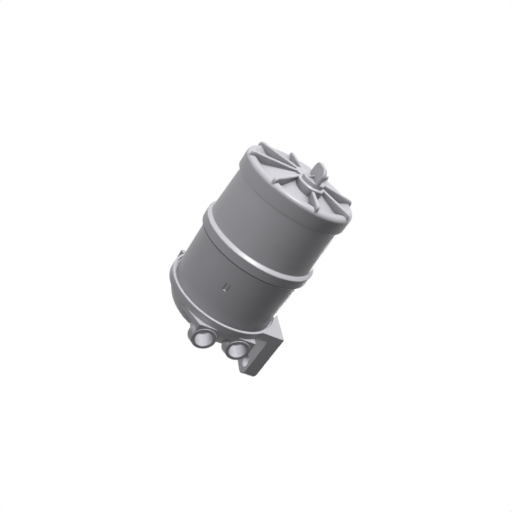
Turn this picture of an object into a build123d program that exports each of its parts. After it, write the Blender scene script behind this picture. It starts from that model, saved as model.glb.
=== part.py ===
from build123d import *
import os
from math import acos, atan2, cos, pi, radians, sin, tan

# Fuel filter and water separator, in millimetres, +Z up as it hangs in service: head on top, drain below.
# It is drawn about the filter's axis with z = 0 at the head's rim edge, and moved at the end, so that
# the origin is midway between the two bolt holes on the bracket's mounting face.

# Fits
thread_gap = 0.05
seal_gap = 0.1
face_gap = 0.3

# Can, which sets the size of what fits round it and in it
can_radius = 48.35
can_wall = 3.1
can_length = 61.8
neck_step = 5.35
neck_height = 8.0
neck_wall = 3.2
neck_relief = 0.5
bowl_thread_rise = 0.85
bowl_thread_length = 6.0
pocket_width = 3.6
pocket_height = 6.8
pocket_depth = 0.7
pocket_drop = 32.6
pocket_angle = 206.6

# Head casting
recess_gap = 1.75
recess_depth = 3.0
rim_width = 2.2
flange_thickness = 7.6
flange_round = 0.8
dome_step = 2.1
dome_height = 31.5
dome_draft = 26.0
dome_round = 26.0
dome_wall = 6.2
chamber_round = 14.0
boss_border = 2.5
lug_reach = 3.8
lug_width = 4.4
lug_angle = -49.0
lug_round = 1.0

# Port bosses, towards -X
port_spacing = 32.0
port_height = 18.9
port_setback = 0.3
port_thread_radius = 7.25
port_thread_length = 14.0
port_passage_radius = 5.5
port_wall = 3.15
port_flare = 2.7
port_flare_length = 7.0
port_flare_round = 1.5
port_neck_length = 6.0
port_boss_depth = 30.0
port_mouth_chamfer = 0.4
port_web_height = 3.6
port_web_setback = 0.5
port_web_sink = 1.2
port_web_inset = 0.4
saddle_setback = 7.5
saddle_height = 23.5
gallery_wall = 3.0
gallery_end = 12.0

# Mounting bracket, cast on the head towards +Y
bracket_thickness = 12.6
bracket_setback = 1.3
bracket_border = 9.7
bracket_top_border = 11.9
bracket_corner = 9.5
bracket_edge_round = 1.0
pad_start = 21.0
pad_relief = 0.5
bolt_spacing = 64.0
bolt_height = 42.0
bolt_hole_radius = 5.4

# Bowl
skirt_wall = 2.85
skirt_overlap = 7.3
skirt_lip = 0.8
shoulder_start = 1.5
shoulder_end = 3.9
shoulder_round = 1.0
bowl_taper = 2.6
bowl_wall = 3.1
bowl_depth = 62.8
grip_rim_step = 3.2
grip_rim_height = 14.8
grip_rim_round = 4.0
grip_step_round = 0.3
crest_width = 5.3
crest_round = 2.5
trough_border = 12.3
trough_depth = 3.3
trough_round = 5.0
cone_rise = 7.2
plateau_radius = 9.5
plateau_step = 2.0
floor_round = 5.0
fin_count = 8
fin_thickness = 3.2
fin_setback = 1.0
fin_height = 3.4
fin_tip_border = 0.3
fin_tip_rise = 3.6
fin_end_round = 3.0
fin_edge_round = 1.2

# Drain hub and plug
drain_offset = 16.9
drain_thread_radius = 7.0
drain_travel = 4.0
hub_wall = 2.4
hub_height = 6.5
hub_chamfer = 1.0
hub_pad_rise = 2.4
plug_disc_border = 0.5
plug_disc_height = 3.5
plug_gap = 0.1
plug_edge = 0.4
wing_overhang = 1.9
wing_height = 12.4
wing_thickness = 3.2
wing_round = 6.5
wing_edge_round = 0.9
gusset_reach = 4.2
gusset_height = 2.9
gusset_thickness = 1.4
slot_width = 3.0
slot_depth = 2.6
slot_start = 3.0
clip_thickness = 0.8
clip_reach = 1.5
clip_groove = 1.2
stem_tip = 1.2

# Seals
large_seal = 1.6
drain_seal = 1.7

# Nipple
nipple_radius = 8.0
nipple_bore = 5.0
nipple_shank = 9.0
nipple_collar = 2.8
collar_gap = 1.9
nipple_hex = 22.0
nipple_reach = 2.7
nipple_chamfer = 0.8
washer_border = 4.5
washer_thickness = 1.2

# Filter element
element_gap = 6.0
element_clearance = 2.95
cap_thickness = 1.0
cap_skirt = 5.0
grommet_wall = 2.9
grommet_lip = 2.0
grommet_bead = 1.4
grommet_depth = 6.0
core_clearance = 3.25
core_wall = 1.0
core_hole_radius = 2.0
core_hole_rows = 4
core_hole_columns = 6
pleat_count = 40
pleat_gap = 0.4
pleat_sheet = 4.9

# Spring, baffle and the ring that holds it
spring_radius = 13.0
spring_wire = 1.8
spring_turns = 2.25
spring_height = 7.75
baffle_thickness = 1.2
baffle_seat_border = 4.0
baffle_lift = 0.8
baffle_slot_count = 8
baffle_slot_width = 5.0
baffle_slot_length = 12.0
baffle_border = 6.0
ring_wire = 1.5
ring_groove = 0.9
ring_opening = 40.0

# Levels that several pieces share
seat_z = recess_depth
neck_end_z = seat_z + neck_height
roof_z = dome_height - dome_wall
can_end_z = seat_z - can_length
ledge_z = can_end_z - face_gap
crest_z = ledge_z - bowl_depth
rim_z = crest_z + grip_rim_height
trough_z = crest_z + trough_depth
cone_end_z = trough_z - cone_rise
plateau_z = cone_end_z - plateau_step
hub_face_z = crest_z - hub_height
pad_z = cone_end_z + bowl_wall + hub_pad_rise
disc_z = hub_face_z - plug_gap
disc_end_z = disc_z - plug_disc_height
clip_z = pad_z + drain_travel + face_gap
clip_end_z = clip_z + clip_thickness
stem_end_z = clip_end_z + stem_tip
ring_z = can_end_z + 1.5 * ring_wire
baffle_z = ring_z + ring_wire / 2 + thread_gap
spring_z = baffle_z + baffle_lift + baffle_thickness
element_top_z = seat_z - element_gap
element_end_z = spring_z + spring_height
bead_z = element_top_z + grommet_bead
spigot_end_z = element_top_z - grommet_depth - nipple_reach
collar_end_z = bead_z + collar_gap
boss_end_z = collar_end_z + nipple_collar + washer_thickness

# Radii that several pieces share
can_inner_radius = can_radius - can_wall
neck_radius = can_radius - neck_step
neck_inner_radius = neck_radius - neck_wall
rim_inner_radius = can_radius + recess_gap
flange_radius = rim_inner_radius + rim_width
dome_radius = flange_radius - dome_step
dome_slope = tan(radians(dome_draft))
port_face = flange_radius - port_setback
port_ring_radius = port_thread_radius + port_wall
port_web_face = port_face - port_web_setback
port_corner = port_spacing / 2 + port_ring_radius
bracket_face = flange_radius + bracket_setback
bracket_width = bolt_spacing + 2 * bracket_border
bracket_height = bolt_height + bracket_top_border
bowl_thread_radius = can_radius + bowl_thread_rise
skirt_inner_radius = bowl_thread_radius + thread_gap
skirt_radius = skirt_inner_radius + skirt_wall
bowl_low_radius = bowl_thread_radius - bowl_taper
grip_rim_radius = bowl_low_radius + grip_rim_step
crest_radius = grip_rim_radius - crest_width
trough_radius = grip_rim_radius - trough_border
stem_radius = drain_thread_radius - thread_gap
drain_seat_radius = drain_thread_radius + drain_seal + 2 * seal_gap
hub_radius = drain_seat_radius + hub_wall
plug_disc_radius = drain_seat_radius + plug_disc_border
washer_radius = nipple_radius + washer_border
boss_radius = washer_radius + boss_border
cap_hole_radius = nipple_radius + thread_gap + grommet_wall
core_radius = cap_hole_radius + core_clearance
element_radius = can_inner_radius - element_clearance
baffle_seat_radius = spring_radius + baffle_seat_border
seat_seal_radius = (neck_radius + can_radius) / 2
ledge_seal_radius = (bowl_thread_radius - bowl_wall + skirt_inner_radius) / 2


def turned(*corners):
    """A solid of revolution about Z, from corners (radius, height) or (radius, height, rounding)."""
    points = [(corner[0], corner[1]) for corner in corners]
    roundings = [corner[2] if len(corner) > 2 else 0 for corner in corners]
    outline = FilletPolyline(*points, radius=roundings, close=True)
    return revolve(Plane.XZ * make_face(outline), Axis.Z)


def tube(outer, inner, low, high):
    """A plain ring between two heights."""
    return turned((inner, low), (outer, low), (outer, high), (inner, high))


def rod(radius, low, high):
    """A plain cylinder between two heights."""
    return Pos(0, 0, (low + high) / 2) * Cylinder(radius, high - low)


def o_ring(radius, section, height):
    """A round seal with its centre radius, section diameter and centre height."""
    return Pos(0, 0, height) * Torus(radius, section / 2)


def face_groove(radius, section, low, high):
    """The cutter of a groove in a flat face that holds a round seal."""
    half = section / 2 + seal_gap
    return tube(radius + half, radius - half, low, high)


def on_drain(piece):
    """A drain piece drawn about Z, moved to the drain's own axis."""
    return Pos(-drain_offset, 0, 0) * piece


def dome_side(height):
    """The radius of the dome's drafted side at a height."""
    return dome_radius - (height - flange_thickness) * dome_slope


def head_outside():
    """The flange and the dome as one turned blank."""
    return turned(
        (0, 0),
        (flange_radius, 0, flange_round),
        (flange_radius, flange_thickness, flange_round),
        (dome_radius, flange_thickness),
        (dome_side(dome_height), dome_height, dome_round),
        (0, dome_height),
    )


def head_cavity():
    """The recess inside the rim, the bore for the can's neck and the chamber under the roof."""
    side_wall = dome_wall / cos(radians(dome_draft))
    bore_radius = neck_radius + thread_gap
    bore_end = neck_end_z + neck_relief
    return turned(
        (0, -1),
        (rim_inner_radius, -1),
        (rim_inner_radius, seat_z),
        (bore_radius, seat_z),
        (bore_radius, bore_end),
        (dome_side(bore_end) - side_wall, bore_end),
        (dome_side(roof_z) - side_wall, roof_z, chamber_round),
        (0, roof_z),
    )


def port_web(height):
    """The web under both port bosses up to a height, with one flank that runs out along the flange's edge."""
    reach = (port_web_face**2 + port_corner**2) ** 0.5
    root_radius = flange_radius - port_web_inset
    angle = atan2(port_corner, port_web_face) + acos(root_radius / reach)
    tangent = (-root_radius * cos(angle), -root_radius * sin(angle))
    corners = [(-port_web_face, -port_corner), (-port_web_face, port_corner)]
    outline = Polyline((0, 0), tangent, *corners, (0, port_corner), close=True)
    low = flange_thickness - port_web_sink
    return Pos(0, 0, low) * extrude(make_face(outline), height - low)


def port_axis(side):
    """The plane of one port's face, looking along its bore."""
    return Plane(origin=(-port_face, side * port_spacing / 2, port_height), x_dir=(0, 1, 0), z_dir=(1, 0, 0))


def port_boss(side):
    """One boss: a faced ring, the flare behind it and the neck into the dome, on an upright stem."""
    boss = turned(
        (0, 0),
        (port_ring_radius, 0),
        (port_ring_radius + port_flare, port_flare_length, port_flare_round),
        (port_ring_radius, port_flare_length + port_neck_length),
        (port_ring_radius, port_boss_depth),
        (0, port_boss_depth),
    )
    outer = flange_radius
    strip = Pos(-outer, side * port_spacing / 2, port_height) * Box(2 * outer, 2 * port_ring_radius, 2 * outer)
    if side < 0:
        strip += Pos(0, -outer, 0) * strip
    return port_axis(side) * boss + (port_web(port_height) & strip)


def port_saddle():
    """The drafted wall that joins the two bosses above their web."""
    profile = Polyline(
        (-port_web_face, flange_thickness + port_web_height),
        (-port_web_face + saddle_setback, saddle_height),
        (-gallery_end, saddle_height),
        (-gallery_end, flange_thickness + port_web_height),
        close=True,
    )
    return extrude(Plane.XZ * make_face(profile), port_spacing / 2, both=True)


def port_bore(side):
    """The threaded bore of one port, with its mouth chamfer and the passage behind it."""
    mouth = port_axis(side)
    depth = port_mouth_chamfer + port_thread_length
    thread = extrude(mouth * Circle(port_thread_radius), depth)
    passage = extrude(mouth * Circle(port_passage_radius), port_face - gallery_end)
    chamfer = loft(
        [
            mouth * Circle(port_thread_radius + port_mouth_chamfer),
            mouth.offset(port_mouth_chamfer) * Circle(port_thread_radius),
        ]
    )
    return thread + passage + chamfer


def outlet_gallery(radius, start):
    """A round gallery from the outlet port to the centre boss, in two straight legs."""
    side_y = port_spacing / 2
    along = Plane(origin=(-start, side_y, port_height), x_dir=(0, 1, 0), z_dir=(1, 0, 0))
    first = extrude(along * Circle(radius), start - gallery_end)
    elbow = Pos(-gallery_end, side_y, port_height) * Sphere(radius)
    inward = Plane(origin=(-gallery_end, side_y, port_height), z_dir=(gallery_end, -side_y, 0))
    second = extrude(inward * Circle(radius), (gallery_end**2 + side_y**2) ** 0.5)
    return first + elbow + second


def bracket():
    """The squared flange and the upright plate with its raised mounting pad, before the bolt holes."""
    slab = Pos(0, bracket_face / 2, flange_thickness / 2) * Box(bracket_width, bracket_face, flange_thickness)
    plate_face = Pos(0, bracket_height / 2) * Rectangle(bracket_width, bracket_height)
    plate_face = fillet(plate_face.vertices().group_by(Axis.Y)[-1], bracket_corner)
    front = Plane(origin=(0, bracket_face, 0), x_dir=(1, 0, 0), z_dir=(0, -1, 0))
    plate = extrude(front * plate_face, bracket_thickness)
    top_edge = plate.faces().sort_by(Axis.Y)[-1].edges().sort_by(Axis.Z)[-1]
    relief = Pos(0, bracket_face, 0) * Box(bracket_width, 2 * pad_relief, 2 * pad_start)
    return slab + fillet(top_edge, bracket_edge_round) - relief


def bolt_holes():
    """The two bolt holes through the plate."""
    drill = Pos(0, bracket_face - bracket_thickness / 2, bolt_height) * Rot(90, 0, 0)
    hole = drill * Cylinder(bolt_hole_radius, 2 * bracket_thickness)
    return GridLocations(bolt_spacing, 0, 2, 1) * hole


def lug():
    """The small ear on the flange's edge."""
    reach = flange_radius + lug_reach
    block = Pos(reach / 2, 0, flange_thickness / 2) * Box(reach, lug_width, flange_thickness)
    outer = block.faces().sort_by(Axis.X)[-1].edges().filter_by(Axis.Z)
    return Rot(0, 0, lug_angle) * fillet(outer, lug_round)


def head():
    """The whole casting, machined."""
    sides = (-1, 1)
    web = port_web(flange_thickness + port_web_height)
    casting = head_outside() + web + port_saddle() + bracket() + lug()
    for side in sides:
        casting += port_boss(side)
    casting -= head_cavity()
    casting += rod(boss_radius, boss_end_z, roof_z + 1)
    gallery_start = port_face - port_thread_length
    casting += outlet_gallery(port_passage_radius + gallery_wall, gallery_start)
    casting -= tube(neck_radius + thread_gap, neck_inner_radius - face_gap, -1, neck_end_z + neck_relief)
    for side in sides:
        casting -= port_bore(side)
    casting -= outlet_gallery(port_passage_radius, gallery_start)
    casting -= rod(nipple_radius + thread_gap, boss_end_z, boss_end_z + nipple_shank)
    casting -= rod(nipple_bore, boss_end_z, port_height)
    casting -= face_groove(seat_seal_radius, large_seal, seat_z, seat_z + large_seal + seal_gap)
    return casting - bolt_holes()


def can():
    """The open can: neck, shoulder, wall and the threaded lower end."""
    body = turned(
        (can_inner_radius, can_end_z),
        (bowl_thread_radius, can_end_z),
        (bowl_thread_radius, can_end_z + bowl_thread_length),
        (can_radius, can_end_z + bowl_thread_length),
        (can_radius, seat_z),
        (neck_radius, seat_z),
        (neck_radius, neck_end_z),
        (neck_inner_radius, neck_end_z),
        (neck_inner_radius, seat_z - can_wall),
        (can_inner_radius, seat_z - can_wall),
    )
    half = ring_wire / 2 + thread_gap
    body -= tube(can_inner_radius + ring_groove, can_inner_radius - 1, ring_z - half, ring_z + half)
    pocket = Pos(can_radius, 0, seat_z - pocket_drop) * Box(2 * pocket_depth, pocket_width, pocket_height)
    return body - Rot(0, 0, pocket_angle) * pocket


def bowl_blank():
    """The turned form of the bowl: threaded skirt, drafted wall, raised rim and coned floor."""
    skirt_end_z = can_end_z + skirt_overlap
    inner_top_radius = bowl_thread_radius - bowl_wall
    return turned(
        (skirt_inner_radius, skirt_end_z),
        (skirt_radius, skirt_end_z, skirt_lip),
        (skirt_radius, ledge_z - shoulder_start, shoulder_round),
        (bowl_thread_radius, ledge_z - shoulder_end, shoulder_round),
        (bowl_low_radius, rim_z, grip_step_round),
        (grip_rim_radius, rim_z, grip_step_round),
        (grip_rim_radius, crest_z, grip_rim_round),
        (crest_radius, crest_z, crest_round),
        (trough_radius, trough_z, trough_round),
        (plateau_radius, cone_end_z),
        (plateau_radius, plateau_z),
        (0, plateau_z),
        (0, cone_end_z + bowl_wall),
        (plateau_radius, cone_end_z + bowl_wall),
        (trough_radius, trough_z + bowl_wall),
        (bowl_low_radius - bowl_wall, trough_z + bowl_wall, floor_round),
        (inner_top_radius, ledge_z),
        (skirt_inner_radius, ledge_z),
    )


def fin(index):
    """One upright fin from the plateau over the trough and the rim, with a softened edge."""
    middle = bowl_wall / 2
    root = plateau_radius - 1
    tip_radius = grip_rim_radius - fin_tip_border
    outline = FilletPolyline(
        (root, cone_end_z + middle),
        (trough_radius, trough_z + middle),
        (tip_radius, trough_z + middle),
        (tip_radius, crest_z + fin_tip_rise),
        (grip_rim_radius - fin_setback, crest_z - fin_height),
        (root, plateau_z),
        radius=[0, 0, 0, 0, fin_end_round, 0],
        close=True,
    )
    blade = extrude(Plane.XZ * make_face(outline), fin_thickness / 2, both=True)
    along = [edge for edge in blade.edges() if abs(edge.tangent_at(0.5).Y) < 0.5]
    lower = [edge for edge in along if edge.center().Z < trough_z - fin_edge_round]
    outer = [edge for edge in lower if edge.center().X > root + 1]
    blade = fillet(outer, fin_edge_round)
    return Rot(0, 0, index * 360 / fin_count) * blade


def bowl():
    """The bowl as one moulding, with its fins and the drain hub."""
    moulding = bowl_blank()
    for index in range(fin_count):
        moulding += fin(index)
    hub = turned(
        (0, pad_z),
        (hub_radius, pad_z),
        (hub_radius, hub_face_z + hub_chamfer),
        (hub_radius - hub_chamfer, hub_face_z),
        (0, hub_face_z),
    )
    moulding += on_drain(hub)
    moulding -= on_drain(rod(hub_radius, pad_z, trough_z + 2 * bowl_wall))
    moulding -= on_drain(rod(drain_thread_radius, hub_face_z - 1, pad_z + 1))
    moulding -= on_drain(rod(drain_seat_radius, hub_face_z - 1, hub_face_z + drain_seal + seal_gap))
    low = can_end_z - seal_gap - large_seal - thread_gap
    return moulding - face_groove(ledge_seal_radius, large_seal, low, ledge_z)


def wing():
    """The flat grip with rounded corners and a small gusset on each face, standing on the disc."""
    width = 2 * (plug_disc_radius + wing_overhang)
    outline = Pos(0, disc_end_z - wing_height / 2) * Rectangle(width, wing_height)
    outline = fillet(outline.vertices().group_by(Axis.Y)[0], wing_round)
    grip = extrude(Plane.XZ * outline, wing_thickness / 2, both=True)
    faces = grip.faces().group_by(Axis.Y)
    edges = faces[0].edges() + faces[-1].edges()
    grip = fillet([edge for edge in edges if edge.center().Z < disc_end_z - wing_edge_round], wing_edge_round)
    side = wing_thickness / 2
    gusset_face = Polyline(
        (side, disc_end_z), (side + gusset_reach, disc_end_z), (side, disc_end_z - gusset_height), close=True
    )
    gusset = extrude(Plane.YZ * make_face(gusset_face), gusset_thickness / 2, both=True)
    return grip + gusset + gusset.mirror(Plane.XZ)


def drain_plug():
    """The plug: disc and wing outside, threaded stem with a flow slot and a clip groove inside."""
    plug = turned(
        (0, disc_end_z),
        (plug_disc_radius - plug_edge, disc_end_z),
        (plug_disc_radius, disc_end_z + plug_edge),
        (plug_disc_radius, disc_z),
        (stem_radius, disc_z),
        (stem_radius, clip_z),
        (stem_radius - clip_groove, clip_z),
        (stem_radius - clip_groove, clip_end_z),
        (stem_radius, clip_end_z),
        (stem_radius, stem_end_z),
        (0, stem_end_z),
    )
    slot_low = hub_face_z + slot_start
    slot = Pos(0, stem_radius, (slot_low + stem_end_z) / 2) * Box(
        slot_width, 2 * slot_depth, stem_end_z - slot_low
    )
    return on_drain(plug - slot + wing())


def drain_clip():
    """The open ring on the stem's inner end that keeps the plug in the bowl."""
    outer = stem_radius + clip_reach
    ring = tube(outer, stem_radius - clip_groove, clip_z, clip_end_z)
    mouth = Pos(0, outer, (clip_z + clip_end_z) / 2) * Box(slot_width, 2 * outer, clip_thickness)
    return on_drain(ring - mouth)


def nipple():
    """The hollow threaded stud with its hexagon collar."""
    shank_end = boss_end_z + nipple_shank
    stud = turned(
        (nipple_bore, spigot_end_z),
        (nipple_radius - nipple_chamfer, spigot_end_z),
        (nipple_radius, spigot_end_z + nipple_chamfer),
        (nipple_radius, shank_end - nipple_chamfer),
        (nipple_radius - nipple_chamfer, shank_end),
        (nipple_bore, shank_end),
    )
    hexagon = RegularPolygon(nipple_hex / 2, 6, major_radius=False) - Circle(nipple_bore)
    return stud + Pos(0, 0, collar_end_z) * extrude(hexagon, nipple_collar)


def element_cap(height, direction, hole):
    """A pressed end cap with its skirt turned over the paper."""
    inside = height + direction * cap_thickness
    skirt_end = height + direction * cap_skirt
    return turned(
        (hole, height),
        (element_radius, height),
        (element_radius, skirt_end),
        (element_radius - cap_thickness, skirt_end),
        (element_radius - cap_thickness, inside),
        (hole, inside),
    )


def grommet():
    """The rubber ring between the top cap and the nipple, with a bead above the cap."""
    bore = nipple_radius + thread_gap
    neck = cap_hole_radius - thread_gap
    return turned(
        (bore, element_top_z - grommet_depth),
        (neck, element_top_z - grommet_depth),
        (neck, element_top_z),
        (cap_hole_radius + grommet_lip, element_top_z),
        (cap_hole_radius + grommet_lip, bead_z),
        (bore, bead_z),
    )


def star(tip_radius, root_radius):
    """A star outline with one point for each pleat."""
    points = []
    for index in range(2 * pleat_count):
        radius = tip_radius if index % 2 == 0 else root_radius
        angle = index * pi / pleat_count
        points.append((radius * cos(angle), radius * sin(angle)))
    return make_face(Polyline(*points, close=True))


def media():
    """The pleated paper as one folded sheet."""
    tip = element_radius - cap_thickness - pleat_gap
    root = core_radius + pleat_gap
    sheet = star(tip, root + pleat_sheet) - star(tip - pleat_sheet, root)
    low = element_end_z + cap_thickness
    return Pos(0, 0, low) * extrude(sheet, element_top_z - cap_thickness - low)


def core():
    """The perforated tube inside the pleats."""
    low = element_end_z + cap_thickness
    high = element_top_z - cap_thickness
    pipe = tube(core_radius, core_radius - core_wall, low, high)
    pitch = (high - low) / core_hole_rows
    for row in range(core_hole_rows):
        for column in range(core_hole_columns):
            turn = (column + row % 2 / 2) * 360 / core_hole_columns
            drill = Pos(core_radius, 0, low + (row + 0.5) * pitch) * Rot(0, 90, 0)
            pipe -= Rot(0, 0, turn) * drill * Cylinder(core_hole_radius, 4 * core_wall)
    return pipe


def spring():
    """The open coil between the baffle and the element."""
    rise = spring_height - spring_wire
    path = Helix(pitch=rise / spring_turns, height=rise, radius=spring_radius)
    section = Plane(origin=path @ 0, z_dir=path % 0) * Circle(spring_wire / 2)
    return Pos(0, 0, spring_z + spring_wire / 2) * sweep(section, path)


def baffle():
    """The pressed plate with a raised spring seat and slots that let water drop into the bowl."""
    edge = can_inner_radius - seal_gap
    top = baffle_z + baffle_thickness
    plate = turned(
        (0, baffle_z + baffle_lift),
        (baffle_seat_radius, baffle_z + baffle_lift),
        (baffle_seat_radius + baffle_lift, baffle_z),
        (edge, baffle_z),
        (edge, top),
        (baffle_seat_radius + baffle_lift, top),
        (baffle_seat_radius, top + baffle_lift),
        (0, top + baffle_lift),
    )
    middle = edge - baffle_border - baffle_slot_length / 2
    slot = Pos(0, 0, baffle_z) * extrude(SlotOverall(baffle_slot_length, baffle_slot_width), baffle_thickness)
    return plate - PolarLocations(middle, baffle_slot_count) * slot


def baffle_ring():
    """The open wire ring snapped into the can's groove."""
    centre = can_inner_radius + ring_groove - ring_wire / 2 - thread_gap
    wire = Torus(centre, ring_wire / 2, major_angle=360 - ring_opening)
    return Pos(0, 0, ring_z) * wire


def pieces():
    """Every piece of the filter by its node name."""
    seat_seal_z = seat_z + large_seal / 2 + seal_gap / 2
    ledge_seal_z = can_end_z - seal_gap - large_seal / 2
    drain_seal_z = hub_face_z + drain_seal / 2
    drain_ring = o_ring(stem_radius + seal_gap + drain_seal / 2, drain_seal, drain_seal_z)
    return {
        "head": head(),
        "can": can(),
        "can_seal": o_ring(seat_seal_radius, large_seal, seat_seal_z),
        "nipple": nipple(),
        "nipple_washer": tube(washer_radius, nipple_radius + thread_gap, boss_end_z - washer_thickness, boss_end_z),
        "element_grommet": grommet(),
        "element_top_cap": element_cap(element_top_z, -1, cap_hole_radius),
        "element_media": media(),
        "element_core": core(),
        "element_bottom_cap": element_cap(element_end_z, 1, 0),
        "element_spring": spring(),
        "baffle": baffle(),
        "baffle_ring": baffle_ring(),
        "bowl": bowl(),
        "bowl_seal": o_ring(ledge_seal_radius, large_seal, ledge_seal_z),
        "drain_plug": drain_plug(),
        "drain_seal": on_drain(drain_ring),
        "drain_clip": drain_clip(),
    }


os.makedirs("parts", exist_ok=True)
to_bracket = Pos(0, -bracket_face, -bolt_height)
for name, piece in pieces().items():
    export_step(to_bracket * piece, f"parts/{name}.step")
    print(name, round(piece.volume), "mm3")
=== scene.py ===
"""Dress the fuel filter and water separator, and set up its studio and camera.

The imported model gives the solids. This script gives each of them its finish, adds the screw threads
that the solids leave plain, and places the floor, the lamps and the camera. Lengths are in metres
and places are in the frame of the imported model, except where a text says otherwise.
"""

import logging
import math
from dataclasses import dataclass
from enum import Enum

import bpy
import numpy as np
from mathutils import Matrix, Vector

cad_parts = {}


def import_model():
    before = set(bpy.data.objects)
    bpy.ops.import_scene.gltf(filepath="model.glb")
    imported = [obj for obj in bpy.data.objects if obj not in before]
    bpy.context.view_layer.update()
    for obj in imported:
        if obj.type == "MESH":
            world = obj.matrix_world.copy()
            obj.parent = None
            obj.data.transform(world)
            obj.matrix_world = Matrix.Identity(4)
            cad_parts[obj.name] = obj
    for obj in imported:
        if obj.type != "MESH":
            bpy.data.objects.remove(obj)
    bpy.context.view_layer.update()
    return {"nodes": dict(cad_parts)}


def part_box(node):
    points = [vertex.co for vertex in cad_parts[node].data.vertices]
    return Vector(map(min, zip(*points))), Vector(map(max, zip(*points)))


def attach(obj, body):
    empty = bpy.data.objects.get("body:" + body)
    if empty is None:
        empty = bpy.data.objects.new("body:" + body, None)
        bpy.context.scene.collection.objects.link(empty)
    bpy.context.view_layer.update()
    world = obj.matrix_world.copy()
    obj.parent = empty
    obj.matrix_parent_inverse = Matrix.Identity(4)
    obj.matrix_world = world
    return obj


LOG = logging.getLogger("fuel_filter")
MM = 0.001
AXIS_Y = -53.6 * MM  # the filter's own axis stands this far before the bracket's face

Triple = tuple[float, float, float]

WHITE: Triple = (1.0, 1.0, 1.0)
DUST_TONE: Triple = (0.42, 0.4, 0.37)
# colour of the painted shade laid into inner corners
PAINTED_CORNER_SHADE_TONE: Triple = (0.1, 0.1, 0.105)
# colour of the painted shade lines along joints and edges
PAINTED_SHADE_LINE_TONE: Triple = (0.03, 0.03, 0.032)


# Shader building


class NodeBench:
    """Lays out the nodes of one shader tree, side by side in the order in which they come."""

    NODE_STEP = 180

    def __init__(self, tree: bpy.types.NodeTree) -> None:
        """Keep the tree and the next node's place.

        Args:
            tree: The node tree to fill.
        """
        self.tree = tree
        self.column = 0

    def add(
        self, kind: str, inputs: dict[str | int, object] | None = None, **settings: object
    ) -> bpy.types.Node:
        """Add a node and set it up.

        Args:
            kind: The node's type name, without the leading ShaderNode.
            inputs: Input names or numbers with either a plain value or an output socket to link.
            **settings: Properties of the node itself.

        Returns:
            The new node.
        """
        node = self.tree.nodes.new("ShaderNode" + kind)
        node.location = (self.NODE_STEP * self.column, 0)
        self.column += 1
        for name, value in settings.items():
            setattr(node, name, value)
        for name, value in (inputs or {}).items():
            if isinstance(value, bpy.types.NodeSocket):
                self.tree.links.new(value, node.inputs[name])
            else:
                node.inputs[name].default_value = value
        return node

    def figure(
        self, operation: str, first: object, second: object, clamp: bool = False
    ) -> bpy.types.NodeSocket:
        """Do one step of arithmetic.

        Args:
            operation: The name of the operation, such as MULTIPLY.
            first: The first number or socket.
            second: The second number or socket.
            clamp: Whether the result is kept between 0 and 1.

        Returns:
            The socket with the result.
        """
        inputs = {0: first, 1: second}
        return self.add("Math", inputs, operation=operation, use_clamp=clamp).outputs[0]

    def mapped(
        self,
        value: object,
        source: tuple[object, object],
        target: tuple[object, object] = (0.0, 1.0),
    ) -> bpy.types.NodeSocket:
        """Map a value from one span to another, and keep the result within the second.

        Args:
            value: The socket to map.
            source: The numbers or sockets that give the ends of the target.
            target: The numbers or sockets that come out for them.

        Returns:
            The socket with the result.
        """
        inputs = {"Value": value, "From Min": source[0], "From Max": source[1]}
        return self.add("MapRange", {**inputs, "To Min": target[0], "To Max": target[1]}).outputs[0]

    def lay_over(
        self, under: bpy.types.NodeSocket, over: Triple, share: object
    ) -> bpy.types.NodeSocket:
        """Lay one colour over another.

        Args:
            under: The socket with the lower colour.
            over: The upper colour.
            share: The socket that says how much of the upper colour shows, from 0 to 1.

        Returns:
            The socket with the mixed colour.
        """
        inputs = {"Factor": share, "A": under, "B": (*over, 1.0)}
        return self.add("Mix", inputs, data_type="RGBA").outputs["Result"]

    def shown_rays(self) -> bpy.types.NodeSocket:
        """Tell the rays that show a surface from those that light another one.

        Returns:
            The socket that is 1 for the camera's rays, reflections and sight through glass.
        """
        path = self.add("LightPath").outputs
        direct = self.figure("MAXIMUM", path["Is Camera Ray"], path["Is Glossy Ray"])
        return self.figure("MAXIMUM", direct, path["Is Transmission Ray"])


class GroupSocket(Enum):
    """The kinds of socket that a shader group has here."""

    NUMBER = "NodeSocketFloat"
    COLOUR = "NodeSocketColor"
    VECTOR = "NodeSocketVector"


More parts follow.
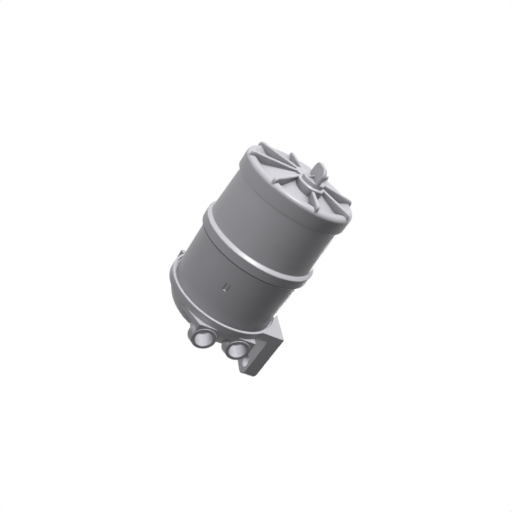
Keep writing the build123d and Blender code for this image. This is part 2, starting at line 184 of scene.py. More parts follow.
class Effects:
    """The shader groups that several finishes share, each built once."""

    SAMPLES = 8  # rays at a point for soft edges and inner corners
    FINER = 3.0  # density of the fine grain against the coarse grain
    DRIFT_SPAN = (0.25, 0.75)  # noise values that give the least and the most colour drift
    ROUGH_SPAN = (0.3, 0.7)  # noise values that give the smoothest and the roughest spots
    DUSTY_SLOPES = (0.3, 1.0)  # upward parts of a normal from no dust to most dust
    CORNER_SHADE_SPAN = (0.8, 0.35)  # open shares of the view, from a plain face to a deep corner
    SHADE_LINE_FADE = 1.4  # where a painted shade line has faded out, in half widths

    def __init__(self) -> None:
        """Build every group."""
        self.grain = self._grain()
        self.drift = self._drift()
        self.edges = self._edges()
        self.settle = self._settle()
        # the group that masks painted shade lines
        self.line = self._shade_line()
        # the group that paints shade into inner corners
        self.corners = self._corner_shade()

    @staticmethod
    def _start(
        name: str, inputs: dict[str, tuple[GroupSocket, object]], outputs: dict[str, GroupSocket]
    ) -> tuple[bpy.types.NodeTree, NodeBench, dict[str, bpy.types.NodeSocket], bpy.types.Node]:
        """Make an empty group with its sockets.

        Args:
            name: The group's name.
            inputs: Input names with their kind and default value.
            outputs: Output names with their kind.

        Returns:
            The group, its bench, its input sockets by name, and its output node.
        """
        tree = bpy.data.node_groups.new(name, "ShaderNodeTree")
        for label, (kind, default) in inputs.items():
            socket = tree.interface.new_socket(label, in_out="INPUT", socket_type=kind.value)
            socket.default_value = default
        for label, kind in outputs.items():
            tree.interface.new_socket(label, in_out="OUTPUT", socket_type=kind.value)
        bench = NodeBench(tree)
        entry = tree.nodes.new("NodeGroupInput")
        exit_node = tree.nodes.new("NodeGroupOutput")
        return tree, bench, {label: entry.outputs[label] for label in inputs}, exit_node

    def _grain(self) -> bpy.types.NodeTree:
        """Height of a fine skin: a coarse noise plus a finer and denser one, by their shares.

        Returns:
            The group, with the output Height.
        """
        number = GroupSocket.NUMBER
        tree, bench, given, out = self._start(
            "skin_grain",
            {"Density": (number, 900.0), "Coarse Share": (number, 0.6)},
            {"Height": number},
        )
        place = bench.add("TexCoord").outputs["Object"]
        coarse = bench.add("TexNoise", {"Vector": place, "Scale": given["Density"], "Detail": 2.0})
        finer = bench.figure("MULTIPLY", given["Density"], self.FINER)
        fine = bench.add("TexNoise", {"Vector": place, "Scale": finer, "Detail": 3.0})
        heights = {"A": fine.outputs["Fac"], "B": coarse.outputs["Fac"]}
        mix = bench.add("Mix", {"Factor": given["Coarse Share"], **heights})
        tree.links.new(mix.outputs["Result"], out.inputs["Height"])
        return tree

    def _drift(self) -> bpy.types.NodeTree:
        """Colour that drifts slowly: the colour times one plus an amount times a noise round 0.

        Returns:
            The group, with the outputs Colour and Shade, the noise from 0 to 1.
        """
        number = GroupSocket.NUMBER
        tree, bench, given, out = self._start(
            "tone_drift",
            {
                "Colour": (GroupSocket.COLOUR, (0.5, 0.5, 0.5, 1.0)),
                "Amount": (number, 0.05),
                "Density": (number, 40.0),
            },
            {"Colour": GroupSocket.COLOUR, "Shade": number},
        )
        place = bench.add("TexCoord").outputs["Object"]
        noise = bench.add("TexNoise", {"Vector": place, "Scale": given["Density"], "Detail": 4.0})
        centred = bench.mapped(noise.outputs["Fac"], self.DRIFT_SPAN, (-1.0, 1.0))
        factor = bench.figure("ADD", bench.figure("MULTIPLY", centred, given["Amount"]), 1.0)
        scaled = bench.add("VectorMath", {0: given["Colour"], "Scale": factor}, operation="SCALE")
        tree.links.new(scaled.outputs["Vector"], out.inputs["Colour"])
        tree.links.new(noise.outputs["Fac"], out.inputs["Shade"])
        return tree

    def _edges(self) -> bpy.types.NodeTree:
        """Softened edges: the normal averaged within a radius, and how far it leaves the true one.

        Returns:
            The group, with the outputs Normal and Mask, 1 on an edge and 0 on a plain face.
        """
        number = GroupSocket.NUMBER
        tree, bench, given, out = self._start(
            "soft_edges",
            {"Radius": (number, 0.0006), "Reach": (number, 6.0)},
            {"Normal": GroupSocket.VECTOR, "Mask": number},
        )
        bevel = bench.add("Bevel", {"Radius": given["Radius"]}, samples=self.SAMPLES)
        soft = bevel.outputs["Normal"]
        true = bench.add("NewGeometry").outputs["Normal"]
        same = bench.add("VectorMath", {0: soft, 1: true}, operation="DOT_PRODUCT").outputs["Value"]
        apart = bench.figure("SUBTRACT", 1.0, same, clamp=True)
        mask = bench.figure("MULTIPLY", apart, given["Reach"], clamp=True)
        tree.links.new(soft, out.inputs["Normal"])
        tree.links.new(mask, out.inputs["Mask"])
        return tree

    def _settle(self) -> bpy.types.NodeTree:
        """Dust that settles on faces turned up: the normal's upward part, broken up by noise.

        Returns:
            The group, with the output Mask.
        """
        number = GroupSocket.NUMBER
        tree, bench, given, out = self._start(
            "settled_dust", {"Amount": (number, 0.2), "Density": (number, 60.0)}, {"Mask": number}
        )
        place = bench.add("TexCoord").outputs["Object"]
        normal = bench.add("NewGeometry").outputs["Normal"]
        up = bench.add("SeparateXYZ", {0: normal}).outputs["Z"]
        facing = bench.mapped(up, self.DUSTY_SLOPES)
        noise = bench.add("TexNoise", {"Vector": place, "Scale": given["Density"], "Detail": 5.0})
        patch = bench.figure("MULTIPLY", facing, noise.outputs["Fac"])
        mask = bench.figure("MULTIPLY", patch, given["Amount"], clamp=True)
        tree.links.new(mask, out.inputs["Mask"])
        return tree

    def _shade_line(self) -> bpy.types.NodeTree:
        """A narrow line of painted shade: how near a plane through a point the surface lies, near
        that point.

        Returns:
            The group, with the output Mask, 1 on the line.
        """
        number, vector = GroupSocket.NUMBER, GroupSocket.VECTOR
        tree, bench, given, out = self._start(
            "painted_shade_line",
            {
                "Point": (vector, (0.0, 0.0, 0.0)),
                "Across": (vector, (0.0, 0.0, 1.0)),
                "Half Width": (number, 0.0005),
                "Reach": (number, 0.01),
            },
            {"Mask": number},
        )
        place = bench.add("TexCoord").outputs["Object"]
        apart = bench.add("VectorMath", {0: place, 1: given["Point"]}, operation="SUBTRACT")
        offset = apart.outputs["Vector"]
        across = bench.add("VectorMath", {0: offset, 1: given["Across"]}, operation="DOT_PRODUCT")
        distance = bench.figure("ABSOLUTE", across.outputs["Value"], 0.0)
        faded = bench.figure("MULTIPLY", given["Half Width"], self.SHADE_LINE_FADE)
        near = bench.mapped(distance, (given["Half Width"], faded), (1.0, 0.0))
        away = bench.add("VectorMath", {0: offset}, operation="LENGTH").outputs["Value"]
        within = bench.figure("LESS_THAN", away, given["Reach"])
        tree.links.new(bench.figure("MULTIPLY", near, within), out.inputs["Mask"])
        return tree

    def _corner_shade(self) -> bpy.types.NodeTree:
        """Painted shade for inner corners: how much of the view out of the surface the piece itself
        closes off.

        Returns:
            The group, with the output Mask, 0 on an open face and 1 deep in a corner.
        """
        number = GroupSocket.NUMBER
        tree, bench, given, out = self._start(
            "painted_corner_shade", {"Reach": (number, 0.02)}, {"Mask": number}
        )
        openness = bench.add(
            "AmbientOcclusion", {"Distance": given["Reach"]}, samples=self.SAMPLES, only_local=True
        )
        mask = bench.mapped(openness.outputs["AO"], self.CORNER_SHADE_SPAN)
        tree.links.new(mask, out.inputs["Mask"])
        return tree


# Finishes


@dataclass(frozen=True)
class PaintedShadeLine:
    """A narrow line of painted shade along a joint or an edge, where shade falls.

    Attributes:
        point: The line's middle.
        across: Unit vector across the line.
        half_width: Half its width.
        reach: How far from its middle it goes.
        depth: How dark the painted shade is, from 0 to 1.
    """

    point: Triple
    across: Triple
    half_width: float
    reach: float
    depth: float

    def draw(
        self, bench: NodeBench, effects: Effects, colour: bpy.types.NodeSocket
    ) -> bpy.types.NodeSocket:
        """Lay the painted shade line over a colour.

        Args:
            bench: The material's bench.
            effects: The shared shader groups.
            colour: The colour under the line.

        Returns:
            The colour with the line on it.
        """
        line = bench.add(
            "Group",
            {
                "Point": self.point,
                "Across": self.across,
                "Half Width": self.half_width,
                "Reach": self.reach,
            },
            node_tree=effects.line,
        )
        share = bench.figure("MULTIPLY", line.outputs["Mask"], self.depth)
        return bench.lay_over(colour, PAINTED_SHADE_LINE_TONE, share)


@dataclass(frozen=True)
class Pocket:
    """The small pocket in the can's wall, whose two long sides get lines of painted shade.

    Attributes:
        turn: Its turn about the filter's axis from +X, in degrees.
        height: Height of its middle.
        wall: The can's radius there.
        half_width: Half the distance between its long sides.
        half_shade_line: Half the width of a line.
        reach: How far a line goes from its middle.
        depth: How dark the painted shade of a line is, from 0 to 1.
    """

    turn: float = 206.6
    height: float = -71.6 * MM
    wall: float = 48.1 * MM
    half_width: float = 1.75 * MM
    half_shade_line: float = 0.28 * MM
    reach: float = 3.6 * MM
    depth: float = 0.8

    def lines(self) -> tuple[PaintedShadeLine, ...]:
        """Place the painted shade lines along the two long sides.

        Returns:
            The two lines.
        """
        turn = math.radians(self.turn)
        outward = Vector((math.cos(turn), math.sin(turn), 0.0))
        along = Vector((-math.sin(turn), math.cos(turn), 0.0))
        middle = Vector((0.0, AXIS_Y, self.height)) + self.wall * outward
        return tuple(
            PaintedShadeLine(
                tuple(middle + side * along), tuple(along), self.half_shade_line, self.reach, self.depth
            )
            for side in (-self.half_width, self.half_width)
        )


@dataclass(frozen=True)
class Finish:
    """One surface finish, with painted shade laid into inner corners and along lines where these are
    set.

    Attributes:
        name: The material's name.
        colour: Base colour, linear.
        roughness: Roughness of a clean face.
        metallic: How much of the surface reads as bare metal.
        density: Grain waves to the metre.
        depth: Grain depth.
        drift: Share by which the colour wanders.
        drift_density: Colour patches to the metre.
        rough_drift: How far the roughness wanders each way.
        edge_radius: Radius within which edges are softened.
        edge_tone: Brightness of an edge against the plain face, a painted highlight with some
            rubbing.
        dust: How much dust settles on faces turned up.
        specular: Specular level.
        lines: Painted shade lines along its joints and edges.
        corner_shade_depth: How dark the painted shade in an inner corner is, from 0 to 1.
        corner_shade_reach: How far from a corner the painted shade reaches.
    """

    name: str
    colour: Triple
    roughness: float
    metallic: float = 0.0
    density: float = 900.0
    depth: float = 0.04 * MM
    drift: float = 0.03
    drift_density: float = 40.0
    rough_drift: float = 0.05
    edge_radius: float = 0.5 * MM
    edge_tone: float = 1.08
    dust: float = 0.0
    specular: float = 0.25
    lines: tuple[PaintedShadeLine, ...] = ()
    corner_shade_depth: float = 0.0
    corner_shade_reach: float = 20.0 * MM

    def build(self, effects: Effects) -> bpy.types.Material:
        """Make the material.

        Args:
            effects: The shared shader groups.

        Returns:
            The material, with its colour, roughness and bump worked out by nodes.
        """
        material = bpy.data.materials.new(self.name)
        material.use_nodes = True
        material.node_tree.nodes.clear()
        bench = NodeBench(material.node_tree)
        drift = bench.add(
            "Group",
            {
                "Colour": (*self.colour, 1.0),
                "Amount": self.drift,
                "Density": self.drift_density,
            },
            node_tree=effects.drift,
        )
        grain = bench.add("Group", {"Density": self.density}, node_tree=effects.grain)
        edges = bench.add("Group", {"Radius": self.edge_radius}, node_tree=effects.edges)
        colour = self._shade(bench, effects, drift.outputs["Colour"], edges.outputs["Mask"])
        smoothest, roughest = self.roughness - self.rough_drift, self.roughness + self.rough_drift
        shade = drift.outputs["Shade"]
        rough = bench.mapped(shade, effects.ROUGH_SPAN, (smoothest, roughest))
        bump = bench.add(
            "Bump",
            {
                "Height": grain.outputs["Height"],
                "Distance": self.depth,
                "Normal": edges.outputs["Normal"],
            },
        )
        shader = bench.add(
            "BsdfPrincipled",
            {
                "Base Color": colour,
                "Roughness": rough,
                "Normal": bump.outputs["Normal"],
                "Metallic": self.metallic,
                "Specular IOR Level": self.specular,
            },
        )
        bench.add("OutputMaterial", {"Surface": shader.outputs["BSDF"]})
        return material

    def _shade(
        self,
        bench: NodeBench,
        effects: Effects,
        plain: bpy.types.NodeSocket,
        on_edge: bpy.types.NodeSocket,
    ) -> bpy.types.NodeSocket:
        """Lay the painted edge highlight and rubbing, dust, painted corner shade and painted shade
        lines on the plain colour, in that order.

        Args:
            bench: The material's bench.
            effects: The shared shader groups.
            plain: The plain colour.
            on_edge: The mask of the edges.

        Returns:
            The finished colour.
        """
        # edges lighter: a painted highlight along the edges, with some rubbing
        rubbed_and_sheen = tuple(min(1.0, part * self.edge_tone) for part in self.colour)
        colour = bench.lay_over(plain, rubbed_and_sheen, on_edge)
        if self.dust > 0:
            settle = bench.add("Group", {"Amount": self.dust}, node_tree=effects.settle)
            colour = bench.lay_over(colour, DUST_TONE, settle.outputs["Mask"])
        # painted shade: inner corners darken towards the corner shade colour
        if self.corner_shade_depth > 0:
            corners = bench.add("Group", {"Reach": self.corner_shade_reach}, node_tree=effects.corners)
            share = bench.figure("MULTIPLY", corners.outputs["Mask"], self.corner_shade_depth)
            colour = bench.lay_over(colour, PAINTED_CORNER_SHADE_TONE, share)
        # painted shade lines along joints and edges
        for line in self.lines:
            colour = line.draw(bench, effects, colour)
        return colour


# Painted shade along the top edge of the bowl's skirt, where it meets the can.
SKIRT_SHADE_LINE = PaintedShadeLine(
    point=(0.0, AXIS_Y, -94.1 * MM),
    across=(0.0, 0.0, 1.0),
    half_width=0.5 * MM,
    reach=60.0 * MM,
    depth=0.85,
)

CAST_HEAD = Finish(
    name="cast_head",
    colour=(0.49, 0.485, 0.52),
    roughness=0.37,
    density=1300.0,
    # painted shade in tight inner corners, such as between the ports
    corner_shade_depth=0.7,
    corner_shade_reach=6.0 * MM,
)
CAST_CAN = Finish(
    name="cast_can",
    colour=(0.48, 0.475, 0.51),
    roughness=0.37,
    density=1500.0,
    depth=0.02 * MM,
    edge_radius=0.2 * MM,
    # painted shade lines along the pocket's long sides
    lines=Pocket().lines(),
)
MOULDED_BOWL = Finish(
    name="moulded_bowl",
    colour=(0.52, 0.515, 0.55),
    roughness=0.38,
    density=2600.0,
    depth=0.012 * MM,
    lines=(SKIRT_SHADE_LINE,),
    # painted shade in inner corners, along the fins' flanks and round the hub
    corner_shade_depth=0.85,
)
MOULDED_PLUG = Finish(
    name="moulded_plug",
    colour=(0.49, 0.485, 0.52),
    roughness=0.38,
    density=2600.0,
    depth=0.012 * MM,
    # painted shade in inner corners
    corner_shade_depth=0.5,
)
SEAL_RUBBER = Finish(
    name="seal_rubber",
    colour=(0.022, 0.022, 0.024),
    roughness=0.55,
    density=2200.0,
    depth=0.02 * MM,
    dust=0.15,
)
PLATED_STEEL = Finish(
    name="plated_steel",
    colour=(0.66, 0.64, 0.60),
    roughness=0.27,
    metallic=1.0,
    density=1800.0,
    depth=0.008 * MM,
    edge_radius=0.2 * MM,
)
SPRING_STEEL = Finish(
    name="spring_steel",
    colour=(0.42, 0.41, 0.40),
    roughness=0.34,
    metallic=1.0,
    density=2400.0,
    depth=0.01 * MM,
    edge_radius=0.2 * MM,
)
FILTER_PAPER = Finish(
    name="filter_paper",
    colour=(0.62, 0.47, 0.26),
    roughness=0.88,
    density=3200.0,
    depth=0.06 * MM,
    drift=0.1,
)
FINISHES = (
    CAST_HEAD,
    CAST_CAN,
    MOULDED_BOWL,
    MOULDED_PLUG,
    SEAL_RUBBER,
    PLATED_STEEL,
    SPRING_STEEL,
    FILTER_PAPER,
)


class Wardrobe:
    """Every finish as a material, and the act of putting one on."""

    def __init__(self, nodes: dict[str, bpy.types.Object]) -> None:
        """Build the shader groups and the materials.

        Args:
            nodes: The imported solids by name.
        """
        self.nodes = nodes
        effects = Effects()
        self.materials = {finish.name: finish.build(effects) for finish in FINISHES}

    def put_on(self, piece: bpy.types.Object, finish: Finish) -> None:
        """Give a piece one finish.

        Args:
            piece: The object to dress.
            finish: Its finish.
        """
        piece.data.materials.clear()
        piece.data.materials.append(self.materials[finish.name])
        LOG.info("%s wears %s", piece.name, finish.name)

    def put_on_nodes(self, wear: dict[str, Finish]) -> None:
        """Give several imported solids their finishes.

        Args:
            wear: The finish of each node by the node's name.
        """
        for node, finish in wear.items():
            self.put_on(self.nodes[node], finish)


# Screw threads


class Axis(Enum):
    """The direction of a thread's axis.

    A value says, for X, Y and Z in turn, which of a thread's width, depth and length lies there.
    """

    ALONG_X = (2, 0, 1)
    ALONG_Z = (0, 1, 2)


@dataclass(frozen=True)
class Thread:
    """A screw thread as a closed sleeve whose roots lie hidden in the wall that it is cut in.

    Attributes:
        name: The piece's name.
        centre: A point of the axis, level with the thread's start.
        axis: The direction of the axis.
        wall: Radius of the wall.
        length: Length along the axis.
        pitch: Distance between two ridges.
        depth: Height of a ridge above the wall.
        outward: Whether the ridges stand away from the axis.
        phase: The share of a pitch by which the helix is turned on.
        sink: How deep in the wall the roots lie.
        backing: How deep in the wall the sleeve's plain back lies.
        flank: Slope of a ridge's flanks, where 1 is a plain triangle and more has a flat crest.
        run_out: The share of a pitch over which the ridges fade out at each end.
        around: Points round the axis.
        samples: Points to a pitch along the axis.
    """

    name: str
    centre: Triple
    axis: Axis
    wall: float
    length: float
    pitch: float
    depth: float
    outward: bool
    phase: float = 0.0
    sink: float = 0.04 * MM
    backing: float = 0.6 * MM
    flank: float = 1.5
    run_out: float = 0.5
    around: int = 128
    samples: int = 12

    def build(self) -> bpy.types.Object:
        """Make the sleeve.

        The wave is the distance along the axis in pitches, less the turn round the axis in whole
        turns, plus the phase, without its whole part. The ridge's height is the depth times a
        triangle of that wave, steepened about its middle and cut off flat at crest and root, and
        fades to nothing at each end. The radius is the wall's plus that height less the sink, or
        the other way round where the ridges face inwards. A plain back, deeper in the wall, closes
        the sleeve.

        Returns:
            The new object.
        """
        sign = 1.0 if self.outward else -1.0
        steps = round(self.length / self.pitch * self.samples) + 1
        along = np.linspace(0.0, self.length, steps)
        turn = np.linspace(0.0, math.tau, self.around, endpoint=False)
        wave = np.mod(along[None, :] / self.pitch - turn[:, None] / math.tau + self.phase, 1.0)
        triangle = 1.0 - np.abs(2.0 * wave - 1.0)
        ridge = np.clip(triangle * self.flank - (self.flank - 1.0) / 2.0, 0.0, 1.0)
        to_end = np.minimum(along, self.length - along)
        fade = np.clip(to_end / (self.run_out * self.pitch), 0.0, 1.0)
        front = self.wall + sign * (self.depth * ridge * fade[None, :] - self.sink)
        back = np.full((self.around, 2), self.wall - sign * self.backing)
        radius = np.hstack((front, back))
        height = np.broadcast_to(np.hstack((along, [self.length, 0.0])), radius.shape)
        if not self.outward:
            radius, height = radius[:, ::-1], height[:, ::-1]
        local = (radius * np.cos(turn)[:, None], radius * np.sin(turn)[:, None], height)
        points = np.stack([local[part] for part in self.axis.value], axis=-1)
        return closed_grid(self.name, points + np.array(self.centre))


def closed_grid(name: str, points: np.ndarray) -> bpy.types.Object:
    """Make a smooth mesh from a grid of points that closes on itself both ways.

    Each point is joined to the next one of its row and of its column, and the last to the first.

    Args:
        name: The object's name.
        points: The points, rows by columns by three.

    Returns:
        The new object, linked to the scene.
    """
    rows, columns, _ = points.shape
    here = np.arange(rows * columns).reshape(rows, columns)
    beside = np.roll(here, -1, axis=0)
    corners = (here, beside, np.roll(beside, -1, axis=1), np.roll(here, -1, axis=1))
    quads = np.stack(corners, axis=-1).reshape(-1, 4)
    mesh = bpy.data.meshes.new(name)
    mesh.from_pydata(points.reshape(-1, 3), [], quads.tolist())
    mesh.shade_smooth()
    piece = bpy.data.objects.new(name, mesh)
    bpy.context.scene.collection.objects.link(piece)
    return piece


def middle_of(node: str) -> Vector:
    """The middle of a node's box at rest."""
    low, high = (Vector(corner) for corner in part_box(node))
    return (low + high) / 2.0


# Sub-assemblies


@dataclass(frozen=True)
class Head:
    """The head casting with its two ports, the nipple in its middle and the washer and seal on it.

    Attributes:
        port_spacing: Distance between the two ports.
        port_height: Height of the ports above the head's rim edge.
        bore: Radius of a port's wall.
        mouth: How far inside its mouth a port's thread starts.
        thread_length: Length of a port's thread.
        pitch: Its pitch.
        ridge: Height of its ridges.
    """

    port_spacing: float = 32.0 * MM
    port_height: float = 18.9 * MM
    bore: float = 7.25 * MM
    mouth: float = 2.0 * MM
    thread_length: float = 12.0 * MM
    pitch: float = 1.5 * MM
    ridge: float = 0.3 * MM

    def threads(self) -> list[Thread]:
        """Set out the threads of the two ports, from just inside each mouth.

        Returns:
            The inlet's and the outlet's thread.
        """
        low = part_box("head")[0]
        middle = middle_of("can").y
        along, height = low[0] + self.mouth, low[2] + self.port_height
        return [
            Thread(
                name=name,
                centre=(along, middle + side * self.port_spacing / 2, height),
                axis=Axis.ALONG_X,
                wall=self.bore,
                length=self.thread_length,
                pitch=self.pitch,
                depth=self.ridge,
                outward=False,
            )
            for name, side in (("inlet_thread", -1), ("outlet_thread", 1))
        ]

    def dress(self, wardrobe: Wardrobe) -> None:
        """Make the threads and put every finish on.

        Args:
            wardrobe: The finishes.
        """
        for thread in self.threads():
            piece = thread.build()
            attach(piece, "filter_body")
            wardrobe.put_on(piece, CAST_HEAD)
        wardrobe.put_on_nodes(
            {
                "head": CAST_HEAD,
                "nipple": PLATED_STEEL,
                "nipple_washer": SEAL_RUBBER,
                "can_seal": SEAL_RUBBER,
            }
        )


@dataclass(frozen=True)
class Can:
    """The can with the element, spring, baffle and ring inside it.

    Attributes:
        thread_wall: Radius of the wall under the thread.
        thread_length: Length of the thread.
        thread_start: How far above the can's lower end it starts.
        pitch: Its pitch.
        ridge: Height of its ridges.
    """

    thread_wall: float = 49.2 * MM
    thread_length: float = 5.6 * MM
    thread_start: float = 0.2 * MM
    pitch: float = 4.0 * MM
    ridge: float = 0.4 * MM

    def thread(self) -> Thread:
        """Set out the thread on the can's lower end.

        Returns:
            The thread.
        """
        middle = middle_of("can")
        return Thread(
            name="can_thread",
            centre=(middle.x, middle.y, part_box("can")[0][2] + self.thread_start),
            axis=Axis.ALONG_Z,
            wall=self.thread_wall,
            length=self.thread_length,
            pitch=self.pitch,
            depth=self.ridge,
            outward=True,
        )

    def dress(self, wardrobe: Wardrobe) -> None:
        """Make the thread and put every finish on.

        Args:
            wardrobe: The finishes.
        """
        piece = self.thread().build()
        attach(piece, "filter_body")
        wardrobe.put_on(piece, CAST_CAN)
        wardrobe.put_on_nodes(
            {
                "can": CAST_CAN,
                "element_grommet": SEAL_RUBBER,
                "element_top_cap": PLATED_STEEL,
                "element_media": FILTER_PAPER,
                "element_core": PLATED_STEEL,
                "element_bottom_cap": PLATED_STEEL,
                "element_spring": SPRING_STEEL,
                "baffle": PLATED_STEEL,
                "baffle_ring": SPRING_STEEL,
            }
        )


@dataclass(frozen=True)
class Bowl:
    """The moulded bowl with the seal on its ledge.

    Attributes:
        thread_wall: Radius of the wall round the thread.
        thread_length: Length of the thread.
        thread_start: How far above the can's lower end it starts.
        pitch: Its pitch.
        ridge: Height of its ridges.
        phase: The share of a pitch by which its ridges stand between the can's.
    """

    thread_wall: float = 49.25 * MM
    thread_length: float = 5.6 * MM
    thread_start: float = 0.5 * MM
    pitch: float = 4.0 * MM
    ridge: float = 0.4 * MM
    phase: float = 0.5

    def thread(self) -> Thread:
        """Set out the thread inside the skirt.

        Returns:
            The thread.
        """
        middle = middle_of("bowl")
        return Thread(
            name="bowl_thread",
            centre=(middle.x, middle.y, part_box("can")[0][2] + self.thread_start),
            axis=Axis.ALONG_Z,
            wall=self.thread_wall,
            length=self.thread_length,
            pitch=self.pitch,
            depth=self.ridge,
            outward=False,
            phase=self.phase,
        )

    def dress(self, wardrobe: Wardrobe) -> None:
        """Make the thread and put every finish on.

        Args:
            wardrobe: The finishes.
        """
        piece = self.thread().build()
        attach(piece, "bowl")
        wardrobe.put_on(piece, MOULDED_BOWL)
        wardrobe.put_on_nodes({"bowl": MOULDED_BOWL, "bowl_seal": SEAL_RUBBER})


@dataclass(frozen=True)
class DrainPlug:
    """The drain plug with its seal and the clip that keeps it in the bowl.

    Attributes:
        stem: Radius of the stem.
        thread_start: How far above the seal's lower side the thread starts.
        thread_length: Length of the thread.
        pitch: Its pitch.
        ridge: Height of its ridges.
        around: Points round the stem.
    """

    stem: float = 6.95 * MM
    thread_start: float = 2.4 * MM
    thread_length: float = 8.0 * MM
    pitch: float = 2.0 * MM
    ridge: float = 0.3 * MM
    around: int = 96

    def thread(self) -> Thread:
        """Set out the thread on the stem, from just above the seal.

        Returns:
            The thread.
        """
        seal = middle_of("drain_seal")
        return Thread(
            name="stem_thread",
            centre=(seal.x, seal.y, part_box("drain_seal")[0][2] + self.thread_start),
            axis=Axis.ALONG_Z,
            wall=self.stem,
            length=self.thread_length,
            pitch=self.pitch,
            depth=self.ridge,
            outward=True,
            around=self.around,
        )

    def dress(self, wardrobe: Wardrobe) -> None:
        """Make the thread and put every finish on.

        Args:
            wardrobe: The finishes.
        """
        piece = self.thread().build()
        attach(piece, "drain_plug")
        wardrobe.put_on(piece, MOULDED_PLUG)
        wardrobe.put_on_nodes(
            {"drain_plug": MOULDED_PLUG, "drain_seal": SEAL_RUBBER, "drain_clip": SPRING_STEEL}
        )


# Studio


@dataclass(frozen=True)
class Lamp:
    """A square lamp that faces the object.

    Attributes:
        name: The lamp's name.
        direction: From the object to the lamp, of any length.
        distance: How far away it stands.
        side: Length of its sides.
        level: Brightness of a white face turned to it, where 1 renders white.
        shadow: Whether it casts shadows.
        lights: Whether it lights matt surfaces.
        shines: Whether it gives highlights.
    """

    name: str
    direction: Triple
    distance: float
    side: float
    level: float
    shadow: bool = False
    lights: bool = True
    shines: bool = True

    def build(self, target: Vector) -> None:
        """Hang the lamp.

        A white face at the distance d from a lamp of the power P is as bright as P over the square
        of pi times d, and the power follows from that.

        Args:
            target: The point that it faces.
        """
        data = bpy.data.lights.new(self.name, "AREA")
        data.shape = "SQUARE"
        data.size = self.side
        data.energy = math.pi**2 * self.level * self.distance**2
        data.use_shadow = self.shadow
        lamp = bpy.data.objects.new(self.name, data)
        bpy.context.scene.collection.objects.link(lamp)
        away = Vector(self.direction).normalized()
        lamp.location = target + away * self.distance
        lamp.rotation_euler = away.to_track_quat("Z", "Y").to_euler()
        lamp.visible_camera = False
        lamp.visible_diffuse = self.lights
        lamp.visible_glossy = self.shines


LAMPS = (
    Lamp("end_lamp", (0.0, 0.0, -1.0), distance=2.5, side=0.4, level=0.9, shines=False),
    Lamp("shine_lamp", (-0.3, -0.085, -0.95), distance=2.5, side=0.4, level=2.2, lights=False),
    Lamp("fill_lamp", (-0.34, -0.77, -0.5), distance=0.9, side=0.3, level=0.38),
    Lamp("back_lamp", (0.66, 0.5, 0.56), distance=0.8, side=0.5, level=0.9, shadow=True),
)


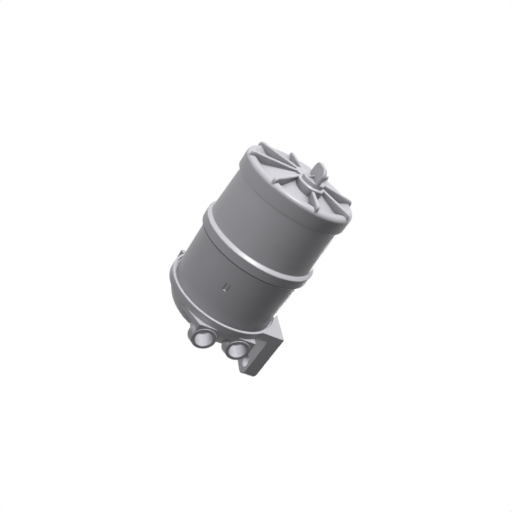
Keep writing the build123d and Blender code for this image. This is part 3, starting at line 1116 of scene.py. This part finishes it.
@dataclass(frozen=True)
class Studio:
    """The floor, the lamps, the world and the camera.

    Attributes:
        eye: Where the camera stands.
        turn: Camera's turn about Z from looking along +Y, in degrees.
        climb: How far the camera looks up, in degrees.
        roll: Camera's roll about its own line of sight, in degrees.
        lens: Focal length, in millimetres.
        sensor: Width of the sensor, in millimetres.
        light_below: Strength of the plain light from straight below.
        light_above: Strength of the plain light from straight above.
        floor_height: Height of the floor.
        floor_reach: Half the floor's side.
        floor_tone: The floor's colour, linear.
        floor_glow: Brightness that the floor has of itself for what sees it.
        floor_glow_share: How much of that replaces the light that falls on the floor.
        middle: The point of the object that the lamps face.
    """

    eye: Triple = (-0.3842, -0.2352, -0.2832)
    turn: float = -64.129
    climb: float = 24.877
    roll: float = -145.025
    lens: float = 38.5614
    sensor: float = 36.0
    light_below: float = 0.0
    light_above: float = 0.03
    floor_height: float = -0.9
    floor_reach: float = 2.4
    floor_tone: Triple = (0.85, 0.85, 0.85)
    floor_glow: float = 0.95
    floor_glow_share: float = 0.75
    middle: Triple = (0.0, AXIS_Y, -0.1)

    def build(self) -> None:
        """Set up everything that isn't part of the object."""
        self._camera()
        self._world()
        self._floor()
        for lamp in LAMPS:
            lamp.build(Vector(self.middle))

    def _camera(self) -> None:
        """Place the camera: turned about Z, climbed about X, then rolled about its sight line."""
        data = bpy.data.cameras.new("camera")
        data.lens = self.lens
        data.sensor_width = self.sensor
        camera = bpy.data.objects.new("camera", data)
        bpy.context.scene.collection.objects.link(camera)
        turn = Matrix.Rotation(math.radians(self.turn), 4, "Z")
        climb = Matrix.Rotation(math.radians(90.0 + self.climb), 4, "X")
        roll = Matrix.Rotation(math.radians(self.roll), 4, "Z")
        camera.matrix_world = Matrix.Translation(self.eye) @ turn @ climb @ roll
        bpy.context.scene.camera = camera

    def _world(self) -> None:
        """Make a white surround for the camera, glass and reflections, and a dim one for light."""
        world = bpy.data.worlds.new("surround")
        world.use_nodes = True
        world.node_tree.nodes.clear()
        bench = NodeBench(world.node_tree)
        shown = bench.shown_rays()
        up = bench.add("SeparateXYZ", {0: bench.add("TexCoord").outputs["Generated"]}).outputs["Z"]
        plain = bench.mapped(up, (-1.0, 1.0), (self.light_below, self.light_above))
        strength = bench.mapped(shown, (0.0, 1.0), (plain, 1.0))
        light = bench.add("Background", {"Color": (*WHITE, 1.0), "Strength": strength})
        bench.add("OutputWorld", {"Surface": light.outputs[0]})
        bpy.context.scene.world = world

    def _floor(self) -> None:
        """Lay a square pale floor that can be seen through from beneath."""
        reach, height = self.floor_reach, self.floor_height
        corners = [(-reach, -reach), (reach, -reach), (reach, reach), (-reach, reach)]
        mesh = bpy.data.meshes.new("studio_floor")
        mesh.from_pydata([(x, y, height) for x, y in corners], [], [(0, 1, 2, 3)])
        floor = bpy.data.objects.new("studio_floor", mesh)
        bpy.context.scene.collection.objects.link(floor)
        mesh.materials.append(self._pale_floor())

    def _pale_floor(self) -> bpy.types.Material:
        """Make the floor's material.

        Returns:
            The material, clear from beneath and with a glow of its own for what sees it.
        """
        material = bpy.data.materials.new("pale_floor")
        material.use_nodes = True
        material.node_tree.nodes.clear()
        bench = NodeBench(material.node_tree)
        matt = bench.add("BsdfDiffuse", {"Color": (*self.floor_tone, 1.0)})
        bright = bench.add("Emission", {"Color": (*WHITE, 1.0), "Strength": self.floor_glow})
        share = bench.figure("MULTIPLY", bench.shown_rays(), self.floor_glow_share)
        pale = bench.add("MixShader", {0: share, 1: matt.outputs[0], 2: bright.outputs[0]})
        clear = bench.add("BsdfTransparent")
        behind = bench.add("NewGeometry").outputs["Backfacing"]
        both = bench.add("MixShader", {0: behind, 1: pale.outputs[0], 2: clear.outputs[0]})
        bench.add("OutputMaterial", {"Surface": both.outputs[0]})
        return material


def main() -> None:
    """Load the solids, set up the studio, and build and dress each sub-assembly in turn."""
    logging.basicConfig(level=logging.INFO)
    bpy.context.scene.view_settings.view_transform = "Standard"
    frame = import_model()
    Studio().build()
    wardrobe = Wardrobe(frame["nodes"])
    for assembly in (Head(), Can(), Bowl(), DrainPlug()):
        LOG.info("building %s", type(assembly).__name__)
        assembly.dress(wardrobe)


if __name__ == "__main__":
    main()
